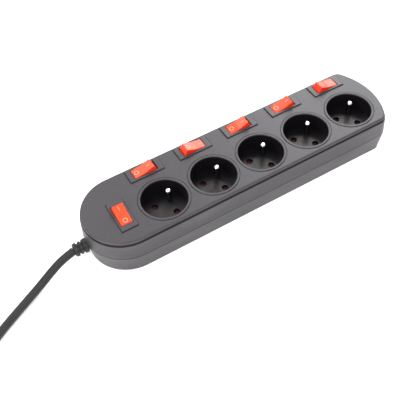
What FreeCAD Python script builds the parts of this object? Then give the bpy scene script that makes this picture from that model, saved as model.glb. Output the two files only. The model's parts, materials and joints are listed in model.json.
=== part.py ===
import FreeCAD, Part
import math
import os

# Five-way socket strip for type E plugs, with one lit rocker switch for the whole
# strip, one for each socket, and a surge board inside.  Millimetres.
# Frame: +X runs along the strip from the cord end to the plain end, +Y towards the
# row of socket switches, +Z up.  The origin is the centre of the underside.

V = FreeCAD.Vector
UP = V(0, 0, 1)

# ---- Case ----
CASE_LENGTH = 285.4
PANEL_WIDTH = 70.0
PANEL_TOP = 39.6
SEAM_HEIGHT = 20.0
SEAM_GAP = 0.5
WALL = 2.4
END_ARC_RADIUS = 60.0
END_CORNER_RADIUS = 8.0
SEAM_BULGE = 1.5
SHOULDER_BULGE = 0.6
FOOT_INSET = 1.0
FOOT_CHAMFER = 0.8
PANEL_EDGE_RADIUS = 1.8
GROOVE_DEPTH = 1.4
GROOVE_BOTTOM = PANEL_TOP - 4.4
GROOVE_TOP = PANEL_TOP - 2.0
CEILING = PANEL_TOP - WALL
TONGUE_THICKNESS = 1.1
TONGUE_HEIGHT = 2.0
SLIP = 0.1

# ---- Sockets ----
SOCKET_COUNT = 5
SOCKET_PITCH = 46.5
LAST_SOCKET_X = 110.9
SOCKET_Y = -9.5
BORE_RADIUS = 19.5
WELL_DEPTH = 15.0
RIM_TOP = PANEL_TOP + 0.4
RIM_WIDTH = 2.2
RIM_ROUND = 0.6
RIM_GROOVE = 0.5
RIM_ROOT = 0.15
RIM_LIP = RIM_TOP - PANEL_TOP + RIM_GROOVE + RIM_ROOT
WELL_FLOOR = 2.5
WELL_WALL = 1.1
FLANGE_WIDTH = 1.3
FLANGE_THICKNESS = 1.5
PIN_SPACING = 19.0
ENTRY_RADIUS = 2.9
ENTRY_ANGLE = -45.0
EARTH_PIN_RADIUS = 2.4
EARTH_PIN_OFFSET = 10.0
EARTH_PIN_LENGTH = 14.0
EARTH_SHANK_RADIUS = 2.2
WELL_FLOOR_TOP = RIM_TOP - WELL_DEPTH
WELL_UNDERSIDE = WELL_FLOOR_TOP - WELL_FLOOR
WELL_OUTER_RADIUS = BORE_RADIUS + WELL_WALL

# ---- Shutters ----
SHUTTER_STUB_RADIUS = 2.0
SHUTTER_FIT = 0.05
SHUTTER_GAP = 0.25
SHUTTER_THICKNESS = 1.5
SHUTTER_RADIUS = 13.2
SHUTTER_HALF_ANGLE = 20.0
STUB_HEAD_RADIUS = 2.9
STUB_HEAD_THICKNESS = 0.9

# ---- Rocker switches ----
SWITCH_Y = 25.6
MAIN_SWITCH_X = -111.9
MAIN_SWITCH_Y = -6.2
BEZEL_LENGTH = 31.0
BEZEL_WIDTH = 14.0
BEZEL_THICKNESS = 1.0
BEZEL_GROOVE = 0.5
BEZEL_GROOVE_DEPTH = 0.6
BEZEL_OVERLAP = 0.2
HOUSING_LENGTH = 28.4
HOUSING_WIDTH = 11.6
HOUSING_BOTTOM = 18.4
HOUSING_FLOOR = 1.6
HOUSING_FIT = 0.15
ROCKER_LENGTH = 20.6
ROCKER_WIDTH = 9.8
ROCKER_SIDE_GAP = 0.4
ROCKER_END_GAP = 0.6
ROCKER_SKIN = 1.1
ROCKER_EDGE_RADIUS = 0.45
ROCKER_TILT = 15.0
ROCKER_PIVOT_Z = 37.0
RIDGE_INSET = 1.3
RIDGE_OUT = ROCKER_LENGTH / 2 - RIDGE_INSET
RIDGE_UP = 6.2
DISH_UP = 5.2
TRUNNION_RADIUS = 1.5
TRUNNION_FIT = 0.06
NOSE_RADIUS = 1.0
BLADE_PIVOT_Z = 24.1
BLADE_LENGTH = 17.0
BLADE_WIDTH = 3.6
BLADE_THICKNESS = 0.6
BLADE_RIB_RADIUS = 0.8
BLADE_RIB_FIT = 0.05
BLADE_TILT = 8.0
TERMINAL_SPACING = 9.0
TERMINAL_WIDTH = 4.8
TERMINAL_THICKNESS = 0.8
TERMINAL_BOTTOM = 10.0
LAMP_RADIUS = 1.6
LAMP_Z = 28.9

# Which socket rockers are switched on; the others and the main one are off.
SOCKET_IS_ON = [False, True, False, False, True]

# ---- Contacts ----
STRIP_THICKNESS = 0.8
STRIP_Z = 4.0
STRIP_WIDTH = 5.0
CLIP_LEAF = 0.6
CLIP_GAP = 4.6
CLIP_TOP = 19.0
EARTH_BAR_Z = 13.0
EARTH_BAR_THICKNESS = 1.0
EARTH_BAR_Y = 3.0
EARTH_BAR_WIDTH = 4.0
RAIL_Z = 9.5
RAIL_HEIGHT = 4.5
LIVE_RAIL_Y = 30.0
LAMP_RAIL_Y = 20.2

# ---- Screws and posts ----
SCREW_X = (-98.35, -5.35, 87.65)
SCREW_FRONT_Y = -27.5
SCREW_BACK_Y = 25.0
BOSS_RADIUS = 3.8
SCREW_RADIUS = 1.75
PILOT_RADIUS = 1.5
SCREW_HOLE_RADIUS = 1.95
SCREW_HEAD_RADIUS = 3.0
SCREW_HEAD_HEIGHT = 2.0
HEAD_RECESS = 2.6
SCREW_TOP = 30.0
POST_RADIUS = 1.6
POST_ANGLES = (-90, 20, 160)

# ---- Surge board ----
BOARD_LENGTH = 17.0
BOARD_WIDTH = 18.0
BOARD_THICKNESS = 1.6
BOARD_Z = 15.5
VARISTOR_RADIUS = 6.0
VARISTOR_THICKNESS = 4.0
VARISTOR_SPACING = 5.2

# ---- Cord, gland and plug ----
CORD_DIAMETER = 7.0
CORD_Z = 16.0
GLAND_OUT = 13.0
GLAND_NECK_RADIUS = 4.7
GLAND_FLANGE_RADIUS = 6.2
CLAMP_POST_Y = 8.5
WIRE_RADIUS = 1.3
CORE_OUT = 1.8
CORE_LOW_Z = 14.9
CORE_TOP_Z = 17.9
CASE_LEFT = -CASE_LENGTH / 2
CLAMP_X = CASE_LEFT + 16.2
CORES_X = CASE_LEFT + 20.2
GLAND_TIP_X = CASE_LEFT - GLAND_OUT
CORD_STEPS = [
    (0.0, 0.0, CORD_Z),
    (-10.8, -1.2, 13.9),
    (-22.3, -4.6, 10.6),
    (-35.8, -9.6, 6.3),
    (-52.3, -16.5, 3.7),
    (-73.3, -27.5, 3.5),
    (-96.3, -41.5, 3.5),
    (-119.5, -57.1, 3.5),
]
TAIL_STEPS = [
    (-153.2, -63.6, 24.8),
    (-170.3, -60.0, 24.0),
    (-185.0, -50.5, 22.0),
    (-195.3, -36.3, 20.0),
    (-199.8, -19.4, 18.6),
]
CORD_ROUTE = [(GLAND_TIP_X + x, y, z) for x, y, z in CORD_STEPS]
TAIL_ROUTE = [(GLAND_TIP_X + x, y, z) for x, y, z in TAIL_STEPS]
COIL_CENTRE = (GLAND_TIP_X - 144.1, -20.6)
COIL_MID_RADIUS = 39.0
COIL_BAND = 17.0
COIL_HEIGHT = 28.5
PLUG_ANGLE = 105.0
PLUG_FACE_RADIUS = 18.5
PLUG_BODY_LENGTH = 40.0
PLUG_PIN_RADIUS = 2.4
PLUG_PIN_LENGTH = 19.0


def socket_xs():
    """X of each socket's axis, from the cord end."""
    first = LAST_SOCKET_X - (SOCKET_COUNT - 1) * SOCKET_PITCH
    return [first + i * SOCKET_PITCH for i in range(SOCKET_COUNT)]


def between_sockets():
    """X of the middle of each gap between two neighbouring sockets."""
    return [x + SOCKET_PITCH / 2 for x in socket_xs()[:-1]]


def cyl(radius, z0, z1, x=0.0, y=0.0):
    """Upright cylinder between two heights."""
    return Part.makeCylinder(radius, z1 - z0, V(x, y, z0), UP)


def box(x0, x1, y0, y1, z0, z1):
    """Box between two corners."""
    return Part.makeBox(x1 - x0, y1 - y0, z1 - z0, V(x0, y0, z0))


def fuse(shapes):
    """One clean solid from shapes that touch or overlap."""
    return shapes[0].multiFuse(shapes[1:]).removeSplitter()


def entry_offset(sign):
    """Offset of a pin entry from its socket's axis; +1 neutral, -1 live."""
    angle = math.radians(ENTRY_ANGLE)
    reach = sign * PIN_SPACING / 2
    return reach * math.cos(angle), reach * math.sin(angle)


def earth_offset():
    """Offset of the earth pin from its socket's axis, square to the two entries."""
    angle = math.radians(ENTRY_ANGLE + 90)
    return EARTH_PIN_OFFSET * math.cos(angle), EARTH_PIN_OFFSET * math.sin(angle)


def outline(grow, z):
    """Closed outline of the case at height z, moved out by grow all round."""
    half = PANEL_WIDTH / 2
    left_x = CASE_LEFT + half
    arc_x = CASE_LENGTH / 2 - END_ARC_RADIUS
    corner_y = half - END_CORNER_RADIUS
    corner_x = arc_x + math.sqrt((END_ARC_RADIUS - END_CORNER_RADIUS) ** 2 - corner_y ** 2)
    lean = math.atan2(corner_y, corner_x - arc_x)
    middle = (lean + math.pi / 2) / 2
    corner = END_CORNER_RADIUS + grow
    end = END_ARC_RADIUS + grow
    edge = half + grow

    def on_corner(angle, side):
        x = corner_x + corner * math.cos(angle)
        y = side * (corner_y + corner * math.sin(angle))
        return V(x, y, z)

    def on_end(angle):
        return V(arc_x + end * math.cos(angle), end * math.sin(angle), z)

    edges = [
        Part.makeLine(V(left_x, -edge, z), V(corner_x, -edge, z)),
        Part.Arc(V(corner_x, -edge, z), on_corner(middle, -1), on_end(-lean)).toShape(),
        Part.Arc(on_end(-lean), on_end(0), on_end(lean)).toShape(),
        Part.Arc(on_end(lean), on_corner(middle, 1), V(corner_x, edge, z)).toShape(),
        Part.makeLine(V(corner_x, edge, z), V(left_x, edge, z)),
        Part.Arc(V(left_x, edge, z), V(left_x - edge, 0, z), V(left_x, -edge, z)).toShape(),
    ]
    return Part.Wire(edges)


def slab(grow, z0, z1):
    """Straight-sided block of the case outline."""
    return Part.Face(outline(grow, z0)).extrude(V(0, 0, z1 - z0))


def flared(grow0, z0, grow1, z1):
    """Block of the case outline whose sides lean from one offset to another."""
    return Part.makeLoft([outline(grow0, z0), outline(grow1, z1)], True, True)


def seam_inner():
    """Offset of the inside of the walls at the seam."""
    return SEAM_BULGE - WALL


def gland_hole(clearance):
    """Hole along X for the gland's neck through the left end wall."""
    radius = GLAND_NECK_RADIUS + clearance
    return Part.makeCylinder(radius, 12, V(CASE_LEFT - 4, 0, CORD_Z), V(1, 0, 0))


def rounded_rim(x):
    """Ring round a socket's mouth, rounded over on both edges."""
    inner = BORE_RADIUS
    outer = BORE_RADIUS + RIM_WIDTH
    base = RIM_TOP - RIM_LIP
    turn = RIM_ROUND * (1 - math.sqrt(0.5))
    points = {
        "a": V(inner, 0, base),
        "b": V(inner, 0, RIM_TOP - RIM_ROUND),
        "c": V(inner + turn, 0, RIM_TOP - turn),
        "d": V(inner + RIM_ROUND, 0, RIM_TOP),
        "e": V(outer - RIM_ROUND, 0, RIM_TOP),
        "f": V(outer - turn, 0, RIM_TOP - turn),
        "g": V(outer, 0, RIM_TOP - RIM_ROUND),
        "h": V(outer, 0, base),
    }
    edges = [
        Part.makeLine(points["a"], points["b"]),
        Part.Arc(points["b"], points["c"], points["d"]).toShape(),
        Part.makeLine(points["d"], points["e"]),
        Part.Arc(points["e"], points["f"], points["g"]).toShape(),
        Part.makeLine(points["g"], points["h"]),
        Part.makeLine(points["h"], points["a"]),
    ]
    ring = Part.Face(Part.Wire(edges)).revolve(V(0, 0, 0), UP, 360)
    ring.translate(V(x, SOCKET_Y, 0))
    return ring


def screw_spots():
    """Positions of the case screws."""
    return [(x, y) for y in (SCREW_FRONT_Y, SCREW_BACK_Y) for x in SCREW_X]


def bezel_grooves():
    """Shadow grooves in the panel, one round each switch bezel."""
    grooves = []
    for x, y, turned, _ in switch_places():
        boxes = []
        for grow in (BEZEL_GROOVE, -BEZEL_OVERLAP):
            half_x = BEZEL_LENGTH / 2 + grow
            half_y = BEZEL_WIDTH / 2 + grow
            boxes.append(box(-half_x, half_x, -half_y, half_y,
                             PANEL_TOP - BEZEL_GROOVE_DEPTH, PANEL_TOP + 1))
        grooves.append(place_switch(boxes[0].cut(boxes[1]), x, y, turned))
    return grooves


def top_cover():
    """Upper shell: panel with raised socket rims, side band and screw posts."""
    band = flared(SEAM_BULGE, SEAM_HEIGHT + SEAM_GAP / 2, SHOULDER_BULGE, GROOVE_BOTTOM)
    neck = slab(-GROOVE_DEPTH, GROOVE_BOTTOM, GROOVE_TOP)
    panel = slab(0, GROOVE_TOP, PANEL_TOP)
    top_edges = [e for e in panel.Edges if e.BoundBox.ZMin > PANEL_TOP - 0.01]
    panel = panel.makeFillet(PANEL_EDGE_RADIUS, top_edges)
    shell = fuse([band, neck, panel])
    low = GROOVE_BOTTOM - WALL
    room = flared(seam_inner(), SEAM_HEIGHT, SHOULDER_BULGE - WALL, low)
    upper_room = slab(-GROOVE_DEPTH - 2.0, low, CEILING)
    shell = shell.cut(room).cut(upper_room)
    tongue_room = slab(seam_inner() + TONGUE_THICKNESS + SLIP, SEAM_HEIGHT,
                       SEAM_HEIGHT + TONGUE_HEIGHT)
    shell = shell.cut(tongue_room)
    posts = [cyl(BOSS_RADIUS, SEAM_HEIGHT, CEILING + 0.5, x, y) for x, y in screw_spots()]
    shell = fuse([shell] + posts)
    for x, y in screw_spots():
        shell = shell.cut(cyl(PILOT_RADIUS, SEAM_HEIGHT - 1, SCREW_TOP + 1, x, y))
    for x in socket_xs():
        groove_radius = BORE_RADIUS + RIM_WIDTH + RIM_GROOVE
        shell = shell.cut(cyl(groove_radius, PANEL_TOP - RIM_GROOVE, PANEL_TOP + 1, x, SOCKET_Y))
        shell = shell.cut(cyl(BORE_RADIUS, CEILING - 1, PANEL_TOP + 1, x, SOCKET_Y))
        socket_seat = WELL_OUTER_RADIUS + SLIP
        shell = shell.cut(cyl(socket_seat, CEILING - 1, RIM_TOP - RIM_LIP, x, SOCKET_Y))
        shell = fuse([shell, rounded_rim(x)])
    half_x = HOUSING_LENGTH / 2 + HOUSING_FIT
    half_y = HOUSING_WIDTH / 2 + HOUSING_FIT
    cutout = box(-half_x, half_x, -half_y, half_y, CEILING - 1, PANEL_TOP + 1)
    for x, y, turned, _ in switch_places():
        shell = shell.cut(place_switch(cutout, x, y, turned))
    for groove in bezel_grooves():
        shell = shell.cut(groove)
    return shell.cut(gland_hole(SLIP)).removeSplitter()


def insert_posts():
    """Posts that hold the socket wells up, three to a socket."""
    reach = BORE_RADIUS + WELL_WALL / 2
    posts = []
    for x in socket_xs():
        for angle in POST_ANGLES:
            a = math.radians(angle)
            px = x + reach * math.cos(a)
            py = SOCKET_Y + reach * math.sin(a)
            posts.append(cyl(POST_RADIUS, WALL - 0.5, WELL_UNDERSIDE, px, py))
    return posts


def bottom_cover():
    """Lower shell: flat base, leaning sides with a tongue, bosses and posts."""
    foot = flared(-FOOT_INSET - FOOT_CHAMFER, 0, -FOOT_INSET, FOOT_CHAMFER)
    side = flared(-FOOT_INSET, FOOT_CHAMFER, SEAM_BULGE, SEAM_HEIGHT - SEAM_GAP / 2)
    shell = fuse([foot, side])
    room = flared(-FOOT_INSET - WALL, WALL, seam_inner(), SEAM_HEIGHT)
    shell = shell.cut(room)
    tongue = slab(seam_inner() + TONGUE_THICKNESS, SEAM_HEIGHT - 2, SEAM_HEIGHT + TONGUE_HEIGHT)
    tongue = tongue.cut(slab(seam_inner(), SEAM_HEIGHT - 3, SEAM_HEIGHT + TONGUE_HEIGHT + 1))
    pieces = [shell, tongue] + insert_posts()
    for x, y in screw_spots():
        pieces.append(cyl(BOSS_RADIUS, WALL - 0.5, SEAM_HEIGHT, x, y))
        pieces.append(cyl(BOSS_RADIUS + 1.2, WALL - 0.5, WALL + 2.0, x, y))
    for x in between_sockets():
        pieces.append(cyl(POST_RADIUS, WALL - 0.5, EARTH_BAR_Z, x, EARTH_BAR_Y))
        neutral_y = SOCKET_Y + entry_offset(1)[1]
        pieces.append(box(x - 2, x + 2, neutral_y - 2, neutral_y + 2, WALL - 0.5, STRIP_Z))
    for x in socket_xs():
        live_x = x + entry_offset(-1)[0]
        pieces.append(box(live_x - 2, live_x + 2, 10, 14, WALL - 0.5, STRIP_Z))
    board_x = between_sockets()[0]
    for y in (15.0, 26.0):
        pieces.append(cyl(POST_RADIUS, WALL - 0.5, BOARD_Z, board_x, y))
    for side_y in (-CLAMP_POST_Y, CLAMP_POST_Y):
        pieces.append(cyl(3.0, WALL - 0.5, CORD_Z, CLAMP_X, side_y))
    saddle = box(CLAMP_X - 3, CLAMP_X + 3, -6, 6, WALL - 0.5, CORD_Z - CORD_DIAMETER / 2 + 1.5)
    groove = Part.makeCylinder(CORD_DIAMETER / 2, 12, V(CLAMP_X - 6, 0, CORD_Z), V(1, 0, 0))
    pieces.append(saddle.cut(groove))
    shell = fuse(pieces)
    for x, y in screw_spots():
        shell = shell.cut(cyl(SCREW_HOLE_RADIUS, -1, SEAM_HEIGHT + 1, x, y))
        shell = shell.cut(cyl(SCREW_HEAD_RADIUS + 0.3, -1, HEAD_RECESS, x, y))
    for side_y in (-CLAMP_POST_Y, CLAMP_POST_Y):
        shell = shell.cut(cyl(PILOT_RADIUS - 0.3, CORD_Z - 9, CORD_Z + 1, CLAMP_X, side_y))
    return shell.cut(gland_hole(SLIP)).removeSplitter()


def cover_screws():
    """Six pan-head screws driven up through the base into the upper shell's posts."""
    screws = []
    head_top = HEAD_RECESS
    for x, y in screw_spots():
        head = cyl(SCREW_HEAD_RADIUS, head_top - SCREW_HEAD_HEIGHT, head_top, x, y)
        shank = cyl(SCREW_RADIUS, head_top - 0.5, SCREW_TOP, x, y)
        slot_x = box(x - 2, x + 2, y - 0.4, y + 0.4, 0, head_top - SCREW_HEAD_HEIGHT + 1.0)
        slot_y = box(x - 0.4, x + 0.4, y - 2, y + 2, 0, head_top - SCREW_HEAD_HEIGHT + 1.0)
        screws.append(fuse([head, shank]).cut(slot_x).cut(slot_y))
    return Part.makeCompound(screws)


def socket_insert(x):
    """Deep round well with two pin entries, an earth-pin hole and the shutter's stub."""
    top = RIM_TOP - RIM_LIP
    well = cyl(WELL_OUTER_RADIUS, WELL_UNDERSIDE, top)
    flange = cyl(WELL_OUTER_RADIUS + FLANGE_WIDTH, CEILING - FLANGE_THICKNESS, CEILING)
    bore = cyl(BORE_RADIUS, WELL_FLOOR_TOP, top + 1)
    body = fuse([well, flange]).cut(bore)
    stub_bottom = WELL_UNDERSIDE - SHUTTER_THICKNESS - 2 * SHUTTER_GAP
    stub = cyl(SHUTTER_STUB_RADIUS, stub_bottom - STUB_HEAD_THICKNESS, WELL_UNDERSIDE + 0.5)
    head = cyl(STUB_HEAD_RADIUS, stub_bottom - STUB_HEAD_THICKNESS, stub_bottom)
    body = fuse([body, stub, head])
    for sign in (-1, 1):
        ex, ey = entry_offset(sign)
        body = body.cut(cyl(ENTRY_RADIUS, WELL_UNDERSIDE - 1, WELL_FLOOR_TOP + 1, ex, ey))
    px, py = earth_offset()
    body = body.cut(cyl(EARTH_SHANK_RADIUS + SLIP / 2, WELL_UNDERSIDE - 1, WELL_FLOOR_TOP + 1,
                        px, py))
    body.translate(V(x, SOCKET_Y, 0))
    return body


def shutter(x):
    """Two-armed disc that turns on the well's stub and closes both pin entries."""
    z1 = WELL_UNDERSIDE - SHUTTER_GAP
    z0 = z1 - SHUTTER_THICKNESS
    disc = cyl(SHUTTER_RADIUS, z0, z1)
    arms = []
    for turn in (0, 180):
        start = math.radians(ENTRY_ANGLE + turn - SHUTTER_HALF_ANGLE)
        stop = math.radians(ENTRY_ANGLE + turn + SHUTTER_HALF_ANGLE)
        far = 2 * SHUTTER_RADIUS
        corners = [V(0, 0, z0), V(far * math.cos(start), far * math.sin(start), z0),
                   V(far * math.cos(stop), far * math.sin(stop), z0), V(0, 0, z0)]
        wedge = Part.Face(Part.makePolygon(corners)).extrude(V(0, 0, z1 - z0))
        arms.append(disc.common(wedge))
    hub = cyl(4.6, z0, z1)
    plate = fuse([hub] + arms).cut(cyl(SHUTTER_STUB_RADIUS + SHUTTER_FIT, z0 - 1, z1 + 1))
    plate.translate(V(x, SOCKET_Y, 0))
    return plate


def earth_pins():
    """Earth pins with domed tips, riveted to the earth bar."""
    px, py = earth_offset()
    tip = WELL_FLOOR_TOP + EARTH_PIN_LENGTH
    bar_top = EARTH_BAR_Z + EARTH_BAR_THICKNESS
    pins = []
    for x in socket_xs():
        cx = x + px
        cy = SOCKET_Y + py
        shaft = cyl(EARTH_PIN_RADIUS, WELL_FLOOR_TOP, tip, cx, cy)
        tip_edges = [e for e in shaft.Edges if e.BoundBox.ZMin > tip - 0.01]
        shaft = shaft.makeFillet(EARTH_PIN_RADIUS * 0.75, tip_edges)
        shank = cyl(EARTH_SHANK_RADIUS, bar_top, WELL_FLOOR_TOP, cx, cy)
        rivet = cyl(1.4, EARTH_BAR_Z - 0.8, bar_top, cx, cy)
        rivet_head = cyl(2.4, EARTH_BAR_Z - 0.8, EARTH_BAR_Z, cx, cy)
        pins.append(fuse([shaft, shank, rivet, rivet_head]))
    return Part.makeCompound(pins)


def earth_busbar():
    """Brass bar that joins the five earth pins and ends in a wire tab."""
    px, py = earth_offset()
    z0 = EARTH_BAR_Z
    z1 = z0 + EARTH_BAR_THICKNESS
    first = socket_xs()[0] + px
    last = socket_xs()[-1] + px
    half = EARTH_BAR_WIDTH / 2
    pieces = [box(first - 22, last + 3, EARTH_BAR_Y - half, EARTH_BAR_Y + half, z0, z1)]
    for x in socket_xs():
        cx = x + px
        pieces.append(box(cx - 3, cx + 3, SOCKET_Y + py - 3, EARTH_BAR_Y, z0, z1))
    bar = fuse(pieces)
    for x in socket_xs():
        bar = bar.cut(cyl(1.42, z0 - 1, z1 + 1, x + px, SOCKET_Y + py))
    return bar


def pin_clip(x, y):
    """Two sprung leaves that grip a plug pin, standing on a strip."""
    half = CLIP_GAP / 2
    z0 = STRIP_Z + STRIP_THICKNESS / 2
    reach = STRIP_WIDTH / 2
    back = box(x - reach, x + reach, y + half, y + half + CLIP_LEAF, z0, CLIP_TOP)
    front = box(x - reach, x + reach, y - half - CLIP_LEAF, y - half, z0, CLIP_TOP)
    return [back, front]


def neutral_busbar():
    """Strip with a clip under each neutral entry."""
    dx, dy = entry_offset(1)
    y = SOCKET_Y + dy
    first = socket_xs()[0] + dx
    last = socket_xs()[-1] + dx
    half = CLIP_GAP / 2 + CLIP_LEAF
    pieces = [box(first - 26, last + 4, y - half, y + half, STRIP_Z, STRIP_Z + STRIP_THICKNESS)]
    for x in socket_xs():
        pieces += pin_clip(x + dx, y)
    return fuse(pieces)


def live_contact(x):
    """Clip under the live entry, a strip back to the switch and a tab on its terminal."""
    dx, dy = entry_offset(-1)
    cx = x + dx
    cy = SOCKET_Y + dy
    half = CLIP_GAP / 2 + CLIP_LEAF
    reach = STRIP_WIDTH / 2
    end_y = SWITCH_Y + TERMINAL_WIDTH / 2
    strip = box(cx - reach, cx + reach, cy - half, end_y, STRIP_Z, STRIP_Z + STRIP_THICKNESS)
    tab_x = x - TERMINAL_SPACING + TERMINAL_THICKNESS / 2
    tab = box(tab_x, tab_x + TERMINAL_THICKNESS, SWITCH_Y - TERMINAL_WIDTH / 2, end_y,
              STRIP_Z, TERMINAL_BOTTOM + 5)
    return fuse([strip, tab] + pin_clip(cx, cy))


def rail(y, terminal_offset, tab_y0, tab_y1):
    """Strip on edge behind the switches with a tab on one terminal of each."""
    first = socket_xs()[0] + terminal_offset + TERMINAL_THICKNESS / 2
    last = socket_xs()[-1] + terminal_offset + TERMINAL_THICKNESS / 2
    z1 = RAIL_Z + RAIL_HEIGHT
    pieces = [box(first - 10, last + STRIP_THICKNESS, y, y + STRIP_THICKNESS, RAIL_Z, z1)]
    for x in socket_xs():
        tab_x = x + terminal_offset + TERMINAL_THICKNESS / 2
        pieces.append(box(tab_x, tab_x + TERMINAL_THICKNESS, tab_y0, tab_y1, RAIL_Z, z1))
    return fuse(pieces)


def live_busbar():
    """Rail that feeds the middle terminal of every socket switch."""
    return rail(LIVE_RAIL_Y, 0.0, SWITCH_Y - TERMINAL_WIDTH / 2, LIVE_RAIL_Y + 0.2)


def lamp_busbar():
    """Neutral rail for the lamps in the switches and for the surge board."""
    return rail(LAMP_RAIL_Y, TERMINAL_SPACING, LAMP_RAIL_Y + 0.2, SWITCH_Y + TERMINAL_WIDTH / 2)


def place_switch(shape, x, y, quarter_turn):
    """Moves a switch piece from its own frame to the panel."""
    shape = shape.copy()
    if quarter_turn:
        shape.rotate(V(0, 0, 0), UP, 90)
    shape.translate(V(x, y, 0))
    return shape


def blade_rib(radius, half_width):
    """Round rib across the see-saw blade, on its pivot."""
    return Part.makeCylinder(radius, 2 * half_width, V(0, -half_width, 0), V(0, 1, 0))


def terminal_shapes():
    """The three flat terminals of one switch, in the switch's own frame."""
    tops = {-TERMINAL_SPACING: 22.4, 0.0: 23.6, TERMINAL_SPACING: 22.4}
    half_x = TERMINAL_THICKNESS / 2
    half_y = TERMINAL_WIDTH / 2
    cradle = blade_rib(BLADE_RIB_RADIUS + BLADE_RIB_FIT, half_y)
    cradle.translate(V(0, 0, BLADE_PIVOT_Z))
    return [box(u - half_x, u + half_x, -half_y, half_y, TERMINAL_BOTTOM, top).cut(cradle)
            for u, top in tops.items()]


def switch_housing():
    """Snap-in body with a bezel, in the switch's own frame."""
    half_x = HOUSING_LENGTH / 2
    half_y = HOUSING_WIDTH / 2
    bezel_x = BEZEL_LENGTH / 2
    bezel_y = BEZEL_WIDTH / 2
    open_x = ROCKER_LENGTH / 2 + ROCKER_END_GAP
    open_y = ROCKER_WIDTH / 2 + ROCKER_SIDE_GAP
    bezel = box(-bezel_x, bezel_x, -bezel_y, bezel_y, PANEL_TOP, PANEL_TOP + BEZEL_THICKNESS)
    rim = [e for e in bezel.Edges if e.BoundBox.ZMin > PANEL_TOP + BEZEL_THICKNESS - 0.01]
    bezel = bezel.makeFillet(BEZEL_THICKNESS * 0.6, rim)
    body = box(-half_x, half_x, -half_y, half_y, HOUSING_BOTTOM, PANEL_TOP)
    pieces = [bezel, body]
    for side in (-1, 1):
        corners = [V(side * half_x, -3, CEILING), V(side * (half_x + 0.9), -3, CEILING),
                   V(side * half_x, -3, CEILING - 4), V(side * half_x, -3, CEILING)]
        pieces.append(Part.Face(Part.makePolygon(corners)).extrude(V(0, 6, 0)))
    housing = fuse(pieces)
    mouth = box(-open_x, open_x, -open_y, open_y, PANEL_TOP - 2, PANEL_TOP + 2)
    room = box(-open_x - 0.6, open_x + 0.6, -open_y, open_y,
               HOUSING_BOTTOM + HOUSING_FLOOR, PANEL_TOP - 1.5)
    housing = housing.cut(mouth).cut(room)
    bearing = Part.makeCylinder(TRUNNION_RADIUS + TRUNNION_FIT, HOUSING_WIDTH,
                                V(0, -half_y, ROCKER_PIVOT_Z), V(0, 1, 0))
    housing = housing.cut(bearing)
    for terminal in terminal_shapes():
        housing = housing.cut(terminal)
    return housing


def prism_across(points, half_width):
    """Solid of an outline in the switch's long section, centred across its width."""
    corners = [V(u, -half_width, w) for u, w in points]
    corners.append(corners[0])
    return Part.Face(Part.makePolygon(corners)).extrude(V(0, 2 * half_width, 0))


def switch_rocker(is_on):
    """Hollow dished rocker with trunnions and a stem, tilted to one of its two places."""
    end = ROCKER_LENGTH / 2
    skirt = 2.5
    outer = [(-RIDGE_OUT, RIDGE_UP), (0, DISH_UP), (RIDGE_OUT, RIDGE_UP), (end, 1.0),
             (end - 0.1, -skirt), (-end + 0.1, -skirt), (-end, 1.0)]
    skin = ROCKER_SKIN
    inner = [(-RIDGE_OUT + skin, RIDGE_UP - skin - 0.2), (0, DISH_UP - skin),
             (RIDGE_OUT - skin, RIDGE_UP - skin - 0.2), (end - skin, 0.8),
             (end - skin, -skirt - 1), (-end + skin, -skirt - 1), (-end + skin, 0.8)]
    half = ROCKER_WIDTH / 2
    cap = prism_across(outer, half)
    top_edges = [e for e in cap.Edges if e.BoundBox.ZMin > 0.5]
    cap = cap.makeFillet(ROCKER_EDGE_RADIUS, top_edges).cut(prism_across(inner, half - skin))
    nose_drop = ROCKER_PIVOT_Z - BLADE_PIVOT_Z - BLADE_THICKNESS / 2 - 0.3 - NOSE_RADIUS
    stem = box(-1.0, 1.0, -1.6, 1.6, -nose_drop, DISH_UP - skin + 0.3)
    nose = Part.makeCylinder(NOSE_RADIUS, 3.2, V(0, -1.6, -nose_drop), V(0, 1, 0))
    trunnion_half = HOUSING_WIDTH / 2 - 0.2
    shaft = Part.makeCylinder(TRUNNION_RADIUS, 2 * trunnion_half, V(0, -trunnion_half, 0),
                              V(0, 1, 0))
    rocker = fuse([cap, stem, nose, shaft])
    tilt = ROCKER_TILT if is_on else -ROCKER_TILT
    rocker.rotate(V(0, 0, 0), V(0, 1, 0), tilt)
    rocker.translate(V(0, 0, ROCKER_PIVOT_Z))
    return rocker


def switch_blade(is_on):
    """See-saw contact under the rocker's nose, with a silver button at the live end."""
    half = BLADE_LENGTH / 2
    blade = box(-half, half, -BLADE_WIDTH / 2, BLADE_WIDTH / 2,
                -BLADE_THICKNESS / 2, BLADE_THICKNESS / 2)
    button = cyl(1.3, -BLADE_THICKNESS / 2 - 0.3, 0, -half + 1.4, 0)
    over_rib = box(-2, 2, -BLADE_WIDTH, BLADE_WIDTH, 0, 2)
    rib = blade_rib(BLADE_RIB_RADIUS, BLADE_WIDTH / 2 - 0.2).cut(over_rib)
    blade = fuse([blade, button, rib])
    blade.rotate(V(0, 0, 0), V(0, 1, 0), -BLADE_TILT if is_on else BLADE_TILT)
    blade.translate(V(0, 0, BLADE_PIVOT_Z))
    return blade


def indicator_lamp():
    """Neon lamp under the rocker's lamp end, held from the housing's end wall."""
    wall = ROCKER_LENGTH / 2 + ROCKER_END_GAP + 0.6
    glass = Part.makeCylinder(LAMP_RADIUS, 4.6, V(5.0, 0, LAMP_Z), V(1, 0, 0))
    ends = [e for e in glass.Edges if abs(e.BoundBox.XMax - 5.0) < 0.01]
    glass = glass.makeFillet(LAMP_RADIUS * 0.8, ends)
    stub = Part.makeCylinder(0.6, wall - 9.0, V(9.0, 0, LAMP_Z), V(1, 0, 0))
    return fuse([glass, stub])


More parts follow.
